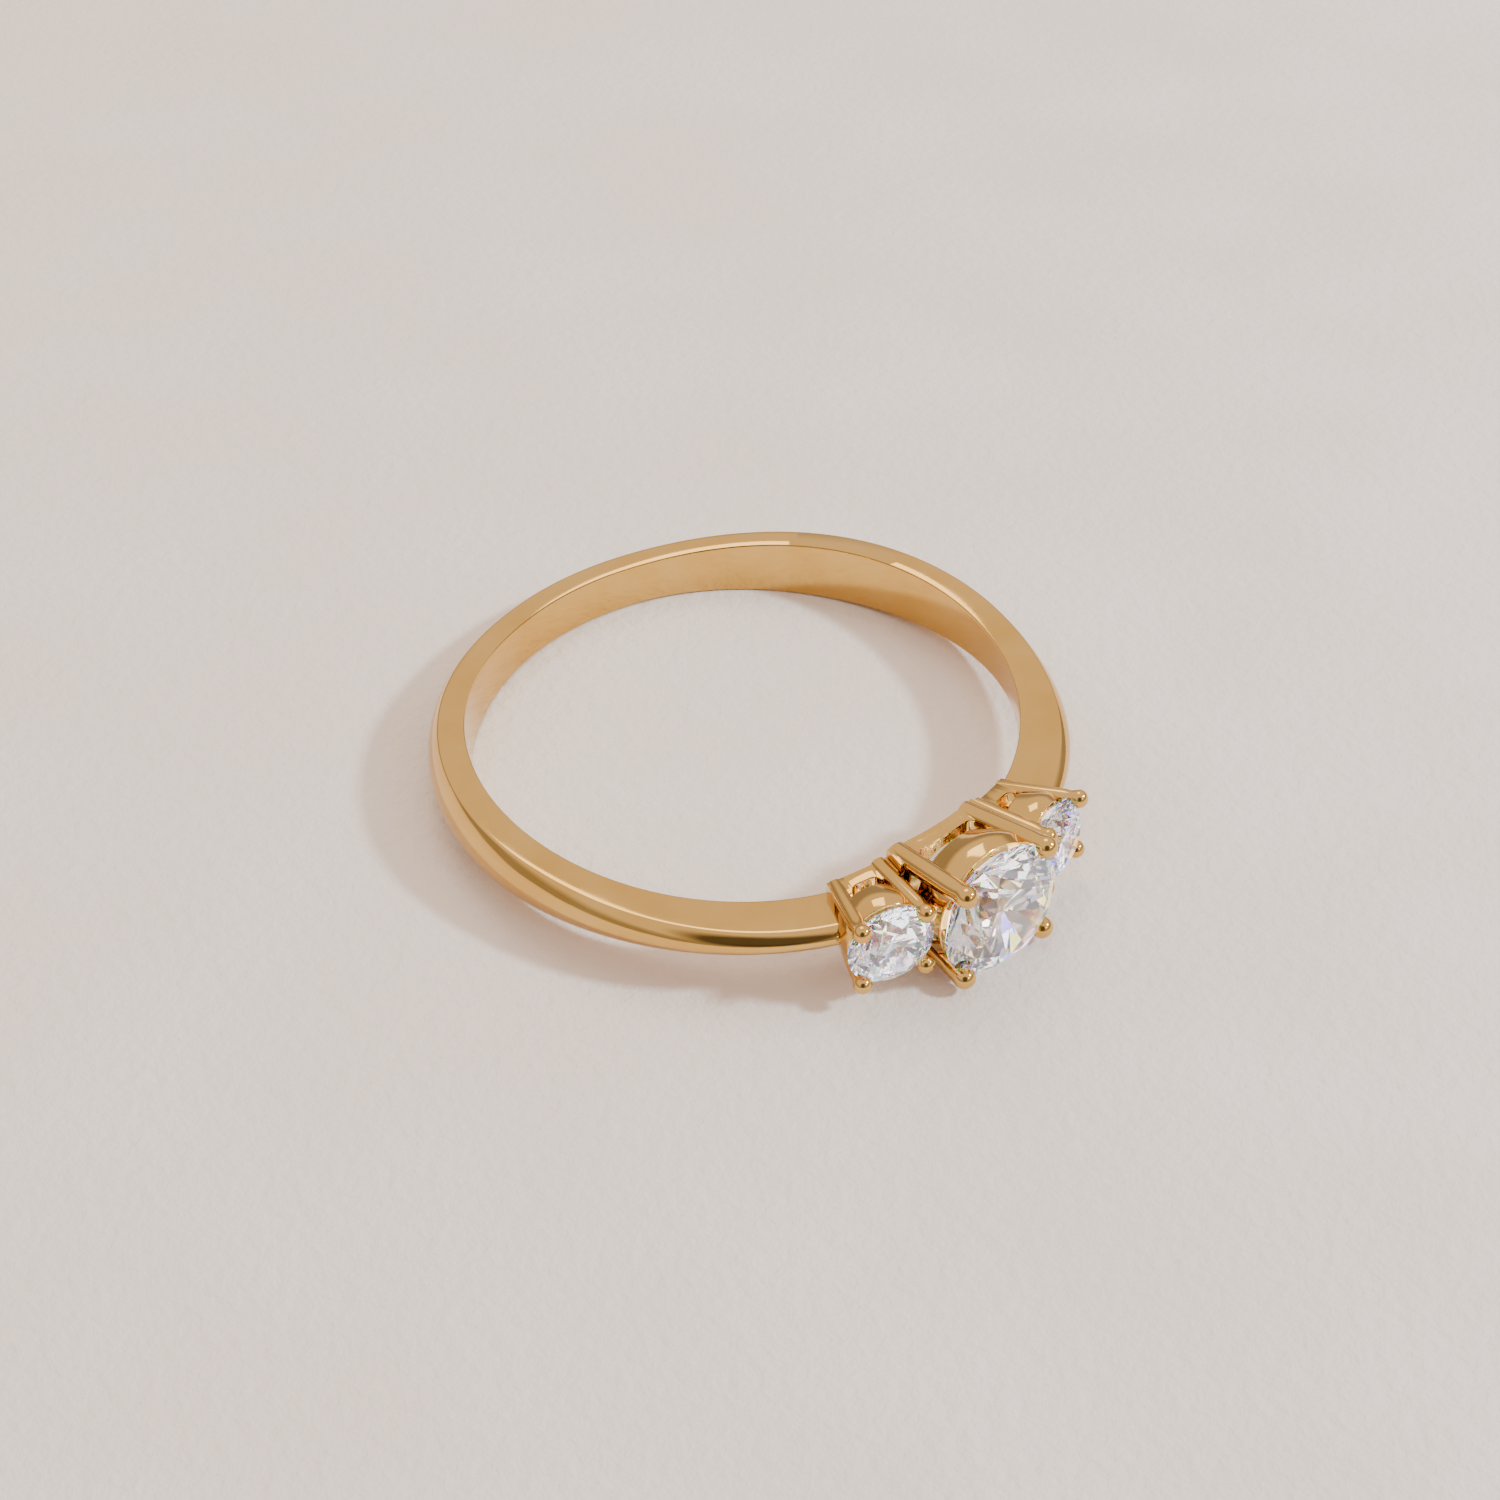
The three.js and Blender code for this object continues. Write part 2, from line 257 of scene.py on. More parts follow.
@dataclass
class Band:
    """A bar of gold bent round the finger hole, its middle on +Y. Sizes are in millimetres."""

    bore: float
    half_angle: float
    step: float
    station: Callable[[float], BandStation]
    arch_strips: int = 12
    edge_share: float = 0.1

    def blank(self) -> bpy.types.Object:
        """Shapes a straight bar, two wide and two high, with an arched top and eased edges.

        Returns:
            The bar.
        """
        deselect()
        bpy.ops.mesh.primitive_cube_add(size=2)
        bar = bpy.context.object
        with editing(bar):
            pick(bar, "EDGE", lambda c: abs(c[0].z - c[1].z) > 1 and min(p.y for p in c) > 0.9)
            bpy.ops.mesh.subdivide(number_cuts=self.arch_strips - 1)
            for i in range(1, self.arch_strips):
                across = 2 * i / self.arch_strips - 1
                pick(bar, "VERT", lambda c: c[0].y > 0.9 and abs(c[0].z - across) < 1e-3)
                bpy.ops.transform.translate(value=(0, 1 - across * across, 0))
            pick(bar, "EDGE", lambda c: abs(c[0].x - c[1].x) > 1 and abs(c[0].z) > 0.99)
            bpy.ops.mesh.bevel(offset=self.edge_share, segments=3, affect="EDGES")
        return bar

    def make(self) -> bpy.types.Object:
        """Draws the bar out to its cross-sections, and bends it.

        Returns:
            The bent band.
        """
        bar = self.blank()
        reach = self.bore * math.radians(self.half_angle)
        steps = 2 * math.ceil(self.half_angle / self.step)
        with editing(bar):
            resize(reach, 1, 1)
            for cuts in (steps // 2 - 1, 1):
                pick(bar, "EDGE", lambda c: abs(c[0].x - c[1].x) > reach / steps)
                bpy.ops.mesh.subdivide(number_cuts=cuts)
            for i in range(steps + 1):
                at = reach * (2 * i / steps - 1)
                size = self.station(self.half_angle * (2 * i / steps - 1))
                about = (at, 1, 0)
                near = reach / steps / 2
                pick(bar, "VERT", lambda c: abs(c[0].x - at) < near and c[0].y > 1)
                resize(1, size.dome, 1, about)
                pick(bar, "VERT", lambda c: abs(c[0].x - at) < near and c[0].y < 1)
                resize(1, size.flank / 2, 1, about)
                pick(bar, "VERT", lambda c: abs(c[0].x - at) < near)
                resize(1, 1, size.half_width, about)
                bpy.ops.transform.translate(value=(0, size.flank - 1, 0))
        turn = -2 * math.radians(self.half_angle)
        apply_modifier(bar, "SIMPLE_DEFORM", deform_method="BEND", deform_axis="Z", angle=turn)
        return settle(bar, Matrix.Translation((0, self.bore, 0)))


# ------------------------------------------------------------------ the ring's place


@dataclass(frozen=True)
class Placing:
    """Where the ring's own frame lies: finger axis along Z, head towards -Y, origin in the bore."""

    table_from_bore_mm: float = 12.0961
    bore_mm: float = 8.6
    solder_mm: float = 0.02

    def solder_angle(self) -> float:
        """Returns the angle that a film of solder takes up round the finger hole, in degrees."""
        return math.degrees(self.solder_mm / self.bore_mm)

    def matrix(self) -> Matrix:
        """Finds the ring's place from its table mount, in front of the finger hole.

        Returns:
            The matrix from the ring's own frame to the part's frame, in metres.
        """
        table = next(m for m in frame["record"]["mounts"] if m["name"] == "table_facet")
        head = Vector(table["axis"])
        centre = Vector(table["pos_m"]) - head * self.table_from_bore_mm * MM
        lean = math.atan2(head.z, -head.y)
        return Matrix.Translation(centre) @ Matrix.Rotation(-lean, 4, "X")

    def from_mm(self) -> Matrix:
        """Returns the matrix from the ring's own frame in millimetres to the part's frame."""
        return self.matrix() @ Matrix.Scale(MM, 4)


# ------------------------------------------------------------------ the ring's pieces


class Corner(Enum):
    """The four prongs of a setting, by their side across the finger and along it."""

    UPPER_LEFT = (-1, 1)
    UPPER_RIGHT = (1, 1)
    LOWER_LEFT = (-1, -1)
    LOWER_RIGHT = (1, -1)


@dataclass
class Workshop:
    """What every piece needs: its place, its gold, and the way it is handed over finished."""

    place: Matrix
    gold: bpy.types.Material
    smooth_angle: float = 32.0

    def hand_over(self, piece: bpy.types.Object, node: str, ease: float = 0.0) -> None:
        """Puts a finished gold piece in the place of its CAD node.

        Args:
            piece: The piece, in millimetres in the ring's own frame.
            node: The CAD node that it stands for.
            ease: Width of the softening of its sharp edges, in millimetres.
        """
        if ease > 0:
            apply_modifier(
                piece,
                "BEVEL",
                width=ease,
                segments=2,
                limit_method="ANGLE",
                angle_limit=math.radians(self.smooth_angle),
                use_clamp_overlap=True,
            )
        settle(piece, self.place)
        bpy.ops.object.shade_smooth_by_angle(angle=math.radians(self.smooth_angle))
        piece.name = f"{node}_polished"
        piece.data.materials.clear()
        piece.data.materials.append(self.gold)
        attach(piece, "root")
        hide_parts(node)
        LOG.info("%s: %d faces", piece.name, len(piece.data.polygons))


@dataclass
class Setting:
    """One stone's setting: base rail, seat ring and four prongs. Millimetres, the centre's sizes."""

    name: str
    angle: float
    bore: float
    stone_radius: float = 2.1
    base_thickness: float = 0.56
    slot_height: float = 0.52
    ring_height: float = 1.34
    girdle_above_ring: float = 0.34
    ring_inset: float = 0.12
    ring_taper: float = 0.3
    ring_wall: float = 0.34
    ring_bulge: float = 0.05
    ring_edge: float = 0.06
    base_hole: float = 0.95
    window_round: float = 0.26
    prong_radius: float = 0.32
    prong_outset: float = 0.09
    prong_splay: float = 0.22
    splay_inner: float = 0.48
    splay_outer: float = 0.48
    bead_above_girdle: float = 0.24
    prong_proud: float = 0.08
    bead: float = 1.04
    neck: float = 0.97

    @property
    def foot_at(self) -> float:
        """Height of the seat ring's foot above the finger axis."""
        return self.bore + self.base_thickness + self.slot_height

    @property
    def girdle_at(self) -> float:
        """Height of the stone's girdle above the finger axis."""
        return self.foot_at + self.ring_height + self.girdle_above_ring

    @property
    def tip_offset(self) -> float:
        """Distance of a prong's tip from the stone's axis, across the finger and along it."""
        return (self.stone_radius + self.prong_outset) / math.sqrt(2)

    @property
    def half_angle(self) -> float:
        """Half the angle that the setting takes up round the finger hole, in degrees."""
        foot = self.tip_offset - self.prong_splay + self.prong_radius
        return math.degrees(math.asin(foot / self.bore))

    @property
    def outward(self) -> int:
        """Side of the setting that faces the shank, 1 for the centre one, where both are alike."""
        return -1 if self.angle < 0 else 1

    def upright(self) -> Matrix:
        """Finds how a setting stands in the ring.

        Returns:
            The matrix from its own frame, Z outwards and Y along the finger, to the ring's.
        """
        turn = math.radians(self.angle)
        across = (math.cos(turn), math.sin(turn), 0)
        out = (math.sin(turn), -math.cos(turn), 0)
        rows = ((across[0], 0, out[0], 0), (across[1], 0, out[1], 0), (0, 1, 0, 0), (0, 0, 0, 1))
        return Matrix(rows)

    def foot_along(self, inward: float) -> float:
        """Says how far along the finger a prong's foot stands.

        Args:
            inward: 1 next to the head's middle, 0 towards the shank.

        Returns:
            The distance from the ring's middle plane.
        """
        return self.tip_offset - self.splay_outer + inward * (self.splay_outer - self.splay_inner)

    def stone_cutter(self, workshop: Workshop) -> bpy.types.Object:
        """Makes a closed copy of the CAD stone, a little larger, to cut its seat with.

        Args:
            workshop: Gives the CAD stone's place.

        Returns:
            The cutter.
        """
        node = frame["nodes"][f"{self.name}_stone"]
        cutter = bpy.data.objects.new("stone_cutter", node.data.copy())
        bpy.context.scene.collection.objects.link(cutter)
        settle(cutter, workshop.place.inverted())
        middle = self.upright() @ Vector((0, 0, self.girdle_at))
        with editing(cutter):
            bpy.ops.mesh.remove_doubles(threshold=0.0005)
            resize(1.008, 1.008, 1.008, tuple(middle))
        return cutter

    def bore_cutter(self) -> bpy.types.Object:
        """Returns the finger hole as a cutter."""
        return cylinder(self.bore, 8, Vector(), 256)

    def prong(self, corner: Corner, workshop: Workshop) -> bpy.types.Object:
        """Shapes one prong from round wire, with a beaded tip pushed down on the stone.

        Args:
            corner: Which of the four it is.
            workshop: Gives the CAD stone's place.

        Returns:
            The prong.
        """
        side_x, side_y = corner.value
        inward = 0.0 if side_x == self.outward else 1.0
        along = self.foot_along(inward)
        foot = Vector((side_x * (self.tip_offset - self.prong_splay), side_y * along, self.bore))
        tip_at = self.girdle_at + self.bead_above_girdle
        tip = Vector((side_x * self.tip_offset, side_y * self.tip_offset, tip_at))
        radius = self.prong_radius
        length = (tip - foot).length + 2 * radius
        wire = cylinder(radius, length + radius, Vector((0, 0, (radius - length) / 2)), 32)
        settle(wire, Matrix())
        with editing(wire):
            pick(wire, "EDGE", lambda c: min(p.z for p in c) > radius * 0.9)
            bpy.ops.mesh.bevel(offset=radius * 0.96, segments=8, affect="EDGES")
            for depth in (0.45, 0.95, 1.7):
                bpy.ops.mesh.select_all(action="SELECT")
                bpy.ops.mesh.bisect(plane_co=(0, 0, -depth * radius), plane_no=(0, 0, 1))
            pick(wire, "VERT", lambda c: c[0].z > -0.1 * radius)
            resize(self.bead, self.bead, self.bead)
            pick(wire, "VERT", lambda c: -1.1 * radius < c[0].z < -0.8 * radius)
            resize(self.neck, self.neck, 1)
        lay = (tip - foot).to_track_quat("Z", "Y").to_matrix().to_4x4()
        settle(wire, self.upright() @ Matrix.Translation(tip) @ lay)
        cut_away(wire, self.stone_cutter(workshop), self.bore_cutter())
        return wire

    def seat_ring(self, workshop: Workshop) -> bpy.types.Object:
        """Shapes the conical ring that the stone sits in.

        Args:
            workshop: Gives the CAD stone's place.

        Returns:
            The seat ring.
        """
        rim_radius = self.stone_radius - self.ring_inset
        foot_radius = rim_radius - self.ring_taper
        deselect()
        bpy.ops.mesh.primitive_cone_add(
            vertices=96, radius1=foot_radius, radius2=rim_radius, depth=self.ring_height
        )
        ring = bpy.context.object
        half = self.ring_height / 2
        with editing(ring):
            pick(ring, "EDGE", lambda c: abs(c[0].z) > half * 0.9 and abs(c[0].z - c[1].z) < 1e-4)
            bpy.ops.mesh.bevel(offset=self.ring_edge, segments=3, affect="EDGES")
            cuts = 5
            for i in range(1, cuts):
                height = half * (2 * i / cuts - 1)
                bpy.ops.mesh.select_all(action="SELECT")
                bpy.ops.mesh.bisect(plane_co=(0, 0, height), plane_no=(0, 0, 1))
                pick(ring, "VERT", lambda c: abs(c[0].z - height) < 1e-3)
                swell = 1 + self.ring_bulge * math.sin(math.pi * i / cuts)
                resize(swell, swell, 1)
        settle(ring, self.upright() @ Matrix.Translation((0, 0, self.foot_at + half)))
        throat = cylinder(foot_radius - self.ring_wall, 8, Vector(), 64)
        settle(throat, self.upright() @ Matrix.Translation((0, 0, self.girdle_at)))
        cut_away(ring, self.stone_cutter(workshop), throat)
        return ring

    def base_rail(self) -> bpy.types.Object:
        """Shapes the curved rail on the finger hole, its top rounded up to the prongs.

        Returns:
            The base rail.
        """

        def station(at: float) -> BandStation:
            """Finds the rail's cross-section.

            Args:
                at: The angle from the rail's middle, in degrees.

            Returns:
                The station there.
            """
            outer_side = -at * self.outward if self.angle else 0.0
            inward = 0.5 - outer_side / self.half_angle / 2
            half_width = self.foot_along(inward) + self.prong_radius - self.prong_proud
            from_end = self.bore * math.radians(self.half_angle - abs(at)) - 2 * self.prong_radius
            share = min(max(1 - from_end / self.window_round, 0.0), 1.0)
            lift = self.window_round * (1 - math.sqrt(1 - share * share))
            return BandStation(half_width, self.base_thickness - 0.03 + lift, 0.03)

        rail = Band(self.bore, self.half_angle, 0.5, station, 4).make()
        settle(rail, Matrix.Rotation(math.radians(180 + self.angle), 4, "Z"))
        hole = cylinder(self.base_hole, 3, Vector(), 48)
        settle(hole, self.upright() @ Matrix.Translation((0, 0, self.bore)))
        cut_away(rail, hole)
        return rail

    def build(self, workshop: Workshop) -> None:
        """Builds the setting's six gold pieces.

        Args:
            workshop: Finishes and places each piece.
        """
        workshop.hand_over(self.base_rail(), f"{self.name}_base_rail", 0.02)
        workshop.hand_over(self.seat_ring(workshop), f"{self.name}_seat_ring")
        for corner in Corner:
            prong = self.prong(corner, workshop)
            workshop.hand_over(prong, f"{self.name}_prong_{corner.name.lower()}")


@dataclass
class SideSetting(Setting):
    """A setting beside the centre one, smaller all over, with beaded tips on its prongs."""

    stone_radius: float = 1.33
    base_thickness: float = 0.5
    slot_height: float = 0.42
    ring_height: float = 1.08
    girdle_above_ring: float = 0.26
    ring_taper: float = 0.12
    base_hole: float = 0.45
    prong_radius: float = 0.25
    prong_outset: float = 0.05
    prong_splay: float = 0.3
    splay_inner: float = 0.13
    splay_outer: float = 0.44
    prong_proud: float = 0.06
    bead: float = 1.12
    neck: float = 0.9


@dataclass
class Shank:
    """The tapering hoop, widest at its sides and pinched at the shoulders. Millimetres, degrees."""

    bore: float
    side: Setting
    back_half_width: float = 0.76
    side_half_width: float = 1.03
    shoulder_half_width: float = 0.38
    back_thickness: float = 1.25
    side_thickness: float = 1.24
    shoulder_thickness: float = 1.68
    back_dome: float = 0.44
    shoulder_dome: float = 0.3
    back_flat_end: float = 12.0
    widest_at: float = 65.0
    thick_at: float = 100.0

    @property
    def shoulder_at(self) -> float:
        """Angle from the back at which the shank meets the side setting."""
        return 180 - abs(self.side.angle) - self.side.half_angle

    def station(self, at: float) -> BandStation:
        """Works out the cross-section at one place.

        Args:
            at: Degrees from the back.

        Returns:
            The cross-section.
        """
        at = abs(at)
        if at < self.widest_at:
            share = ease_between(at, self.back_flat_end, self.widest_at)
            half_width = mix(self.back_half_width, self.side_half_width, share)
        else:
            share = ease_between(at, self.widest_at, self.shoulder_at)
            half_width = mix(self.side_half_width, self.shoulder_half_width, share)
        if at < self.thick_at:
            thickness = mix(self.back_thickness, self.side_thickness, ease_between(at, 0, self.thick_at))
        else:
            share = ease_between(at, self.thick_at, self.shoulder_at)
            thickness = mix(self.side_thickness, self.shoulder_thickness, share)
        dome = mix(self.back_dome, self.shoulder_dome, ease_between(at, 0, self.shoulder_at))
        return BandStation(half_width, thickness - dome, dome)

    def side_room(self, sign: int) -> list[bpy.types.Object]:
        """Makes the shapes that fit the shank's end to a side setting.

        Args:
            sign: -1 for the left one, 1 for the right one.

        Returns:
            The cutters: a block for its base and feet, and a cone for its seat ring.
        """
        side = self.side
        turn = math.radians((sign - 1) * side.angle)
        upright = Matrix.Rotation(turn, 4, "Z") @ side.upright()
        half_width = side.tip_offset - side.prong_splay + side.prong_radius
        deselect()
        bpy.ops.mesh.primitive_cube_add(size=2, scale=(half_width, 4, 3))
        box = settle(bpy.context.object, upright @ Matrix.Translation((0, 0, side.girdle_at)))
        rim_radius = side.stone_radius - 0.02
        foot_radius = rim_radius - side.ring_inset - side.ring_taper
        height = side.girdle_at - side.foot_at
        deselect()
        bpy.ops.mesh.primitive_cone_add(vertices=64, radius1=foot_radius, radius2=rim_radius, depth=height)
        middle = Matrix.Translation((0, 0, side.foot_at + height / 2))
        cone = settle(bpy.context.object, upright @ middle)
        return [box, cone]

    def build(self, workshop: Workshop) -> None:
        """Builds the shank.

        Args:
            workshop: Finishes and places it.
        """
        end = 180 - abs(self.side.angle)
        hoop = Band(self.bore, end, 2.0, self.station).make()
        for sign in (-1, 1):
            cut_away(hoop, *self.side_room(sign))
        workshop.hand_over(hoop, "shank")


# ------------------------------------------------------------------ finishes


@dataclass(frozen=True)
class PolishedGold:
    """14 carat yellow gold, cast, filed and mirror-polished, then worn for a while."""

    rich: str = "D4A857"
    pale: str = "DDB56A"
    smooth: float = 0.06
    hazy: float = 0.12
    cloud_mm: float = 2.2
    tone_from: float = 0.3
    tone_to: float = 0.7
    hairline_mm: float = 0.06
    hairline_depth_mm: float = 0.0025

    def make(self) -> bpy.types.Material:
        """Mixes the gold's material.

        Returns:
            The material.
        """
        # Polished metal shows clear reflections. Wear leaves a haze in soft patches, and hairlines
        # that run round the band: real ones are 0.01 mm wide, and they are drawn coarser, to show.
        material, tree = blank_material("mirror_polished_yellow_gold")
        place = add_node(tree, "ShaderNodeTexCoord").outputs["Object"]
        cloud = add_node(
            tree,
            "ShaderNodeTexNoise",
            Vector=place,
            Scale=1 / (self.cloud_mm * MM),
            Detail=3.0,
            Roughness=0.55,
        ).outputs["Fac"]
        stretched = add_node(tree, "ShaderNodeMapping", Vector=place, Scale=(0.06, 0.06, 1.0))
        hairlines = add_node(
            tree,
            "ShaderNodeTexNoise",
            Vector=stretched.outputs["Vector"],
            Scale=1 / (self.hairline_mm * MM),
            Detail=2.0,
        ).outputs["Fac"]
        tone = add_node(tree, "ShaderNodeValToRGB", Fac=cloud)
        tone.color_ramp.elements[0].position = self.tone_from
        tone.color_ramp.elements[0].color = linear(self.rich)
        tone.color_ramp.elements[1].position = self.tone_to
        tone.color_ramp.elements[1].color = linear(self.pale)
        haze = add_node(
            tree,
            "ShaderNodeMapRange",
            Value=cloud,
            From_Min=0.35,
            From_Max=0.7,
            To_Min=self.smooth,
            To_Max=self.hazy,
        )
        relief = add_node(
            tree,
            "ShaderNodeBump",
            Height=hairlines,
            Strength=0.35,
            Distance=self.hairline_depth_mm * MM,
        )
        shader = add_node(
            tree,
            "ShaderNodeBsdfPrincipled",
            Base_Color=tone.outputs["Color"],
            Metallic=1.0,
            Roughness=haze.outputs["Result"],
            Normal=relief.outputs["Normal"],
        )
        add_node(tree, "ShaderNodeOutputMaterial", Surface=shader.outputs[0])
        return material


@dataclass(frozen=True)
class CutDiamond:
    """Colourless diamond, ground and polished: clear and very bright, with a little coloured fire, and a
    painted glow on its lower facets.
    """

    ior: float = 2.417
    spread: float = 0.02
    fire_share: float = 0.3
    body: str = "FEFEFF"
    # These settings paint a glow on the lower facets: emission in near black, greys, white, violet and
    # yellow, picked at random facet by facet.
    painted_glow_strength: float = 3.2
    grain: float = 0.04
    darkest_painted_glow: str = "05060A"
    steps: tuple[tuple[float, str], ...] = (
        (0.36, "3E424A"),
        (0.60, "8E929C"),
        (0.80, "FFFFFF"),
        (0.91, "8E78FF"),
        (0.96, "FFE98A"),
    )
    rear_from: float = 0.3

    def glass(self, tree: bpy.types.NodeTree, tint: list[float], ior: float) -> bpy.types.NodeSocket:
        """Adds one clear lobe.

        Args:
            tree: The material's node tree.
            tint: The light that it lets through, as linear red, green and blue.
            ior: How strongly it bends light.

        Returns:
            The shader socket.
        """
        lobe = add_node(tree, "ShaderNodeBsdfGlass", Color=(*tint, 1.0), Roughness=0.0, IOR=ior)
        return lobe.outputs[0]

    def painted_facet_glow(self, tree: bpy.types.NodeTree) -> bpy.types.NodeSocket:
        """Adds a painted glow on the lower facets, emission that stands in for the light they throw back,
        bright on some and hardly any on others.

        Args:
            tree: The material's node tree.

        Returns:
            The shader socket.
        """
        facing = add_node(tree, "ShaderNodeNewGeometry").outputs["True Normal"]
        snapped = add_node(
            tree,
            "ShaderNodeVectorMath",
            {"operation": "SNAP"},
            _0=facing,
            _1=(self.grain, self.grain, self.grain),
        )
        chance = add_node(
            tree, "ShaderNodeTexWhiteNoise", {"noise_dimensions": "3D"}, Vector=snapped.outputs["Vector"]
        )
        tone = add_node(tree, "ShaderNodeValToRGB", Fac=chance.outputs["Value"])
        ramp = tone.color_ramp
        ramp.interpolation = "CONSTANT"
        ramp.elements[0].color = linear(self.darkest_painted_glow)
        (first_at, first_colour), *others = self.steps
        ramp.elements[1].position = first_at
        ramp.elements[1].color = linear(first_colour)
        for at, colour in others:
            ramp.elements.new(at).color = linear(colour)
        depth = add_node(tree, "ShaderNodeSeparateXYZ", Vector=facing)
        below = add_node(
            tree,
            "ShaderNodeMath",
            {"operation": "GREATER_THAN"},
            _0=depth.outputs["Y"],
            _1=self.rear_from,
        )
        painted_glow_colour = add_node(
            tree,
            "ShaderNodeMix",
            {"data_type": "RGBA"},
            _0=below.outputs[0],
            _6=linear("000000"),
            _7=tone.outputs["Color"],
        )
        # Painted glow: the facets emit this light themselves, though they are no lamp.
        painted_glow = add_node(tree, "ShaderNodeEmission", Color=painted_glow_colour.outputs[2], Strength=self.painted_glow_strength)
        return painted_glow.outputs[0]

    def make(self) -> bpy.types.Material:
        """Mixes the diamond's material.

        Returns:
            The material.
        """
        # Diamond bends blue light more than red. Three clear lobes, one for each third of the spectrum,
        # split white light a little, over a plain clear one. The lower facets glow with painted light,
        # emission that stands in for the light they throw back up, some of it painted as violet and yellow
        # fire.
        material, tree = blank_material("brilliant_cut_diamond")
        body = list(linear(self.body)[:3])
        lobes = []
        for third in range(3):
            tint = [body[k] if k == third else 0.0 for k in range(3)]
            lobes.append(self.glass(tree, tint, self.ior + self.spread * (third - 1)))
        warm = add_node(tree, "ShaderNodeAddShader", _0=lobes[0], _1=lobes[1])
        split = add_node(tree, "ShaderNodeAddShader", _0=warm.outputs[0], _1=lobes[2])
        clear = self.glass(tree, body, self.ior)
        mixed = add_node(tree, "ShaderNodeMixShader", _0=self.fire_share, _1=clear, _2=split.outputs[0])
        # Adds the painted facet glow over the glass.
        bright = add_node(tree, "ShaderNodeAddShader", _0=mixed.outputs[0], _1=self.painted_facet_glow(tree))
        add_node(tree, "ShaderNodeOutputMaterial", Surface=bright.outputs[0])
        return material


@dataclass(frozen=True)
class CottonPaper:
    """Uncoated cotton paper, pressed and dried: matt, warm white, with a soft tooth."""

    light: str = "FCEFE2"
    dark: str = "F7E7D9"
    tooth_mm: float = 0.5
    patch_mm: float = 9.0
    tone_from: float = 0.35
    tone_to: float = 0.65

    def make(self) -> bpy.types.Material:
        """Mixes the paper's material.

        Returns:
            The material.
        """
        # Pressed cotton paper has a shallow tooth half a millimetre across, and softer patches.
        material, tree = blank_material("uncoated_cotton_paper")
        place = add_node(tree, "ShaderNodeTexCoord").outputs["Object"]
        patches = add_node(
            tree, "ShaderNodeTexNoise", Vector=place, Scale=1 / (self.patch_mm * MM), Detail=4.0
        )
        tooth = add_node(
            tree,
            "ShaderNodeTexNoise",
            Vector=place,
            Scale=1 / (self.tooth_mm * MM),
            Detail=5.0,
            Roughness=0.6,
        )
        tone = add_node(tree, "ShaderNodeValToRGB", Fac=patches.outputs["Fac"])
        tone.color_ramp.elements[0].position = self.tone_from
        tone.color_ramp.elements[0].color = linear(self.dark)
        tone.color_ramp.elements[1].position = self.tone_to
        tone.color_ramp.elements[1].color = linear(self.light)
        relief = add_node(
            tree, "ShaderNodeBump", Height=tooth.outputs["Fac"], Strength=0.9, Distance=0.12 * MM
        )
        shader = add_node(
            tree,
            "ShaderNodeBsdfPrincipled",
            Base_Color=tone.outputs["Color"],
            Roughness=0.85,
            Normal=relief.outputs["Normal"],
        )
        add_node(tree, "ShaderNodeOutputMaterial", Surface=shader.outputs[0])
        return material


# ------------------------------------------------------------------ studio


@dataclass(frozen=True)
class SoftBox:
    """One square soft light. Azimuth 0 is in front of the head; size in metres, power in watts."""

    name: str
    azimuth: float
    elevation: float
    size: float
    power: float
    colour: str = "FFF6EC"
    distance: float = 0.35

    def hang(self) -> None:
        """Hangs the light, pointing at the ring."""
        lamp = bpy.data.lights.new(self.name, "AREA")
        lamp.size = self.size
        lamp.energy = self.power
        lamp.color = linear(self.colour)[:3]
        holder = bpy.data.objects.new(self.name, lamp)
        turn, lift = math.radians(self.azimuth), math.radians(self.elevation)
        way = Vector((math.sin(turn) * math.cos(lift), -math.cos(turn) * math.cos(lift), math.sin(lift)))
        holder.location = way * self.distance
        holder.rotation_euler = way.to_track_quat("Z", "Y").to_euler()
        bpy.context.scene.collection.objects.link(holder)


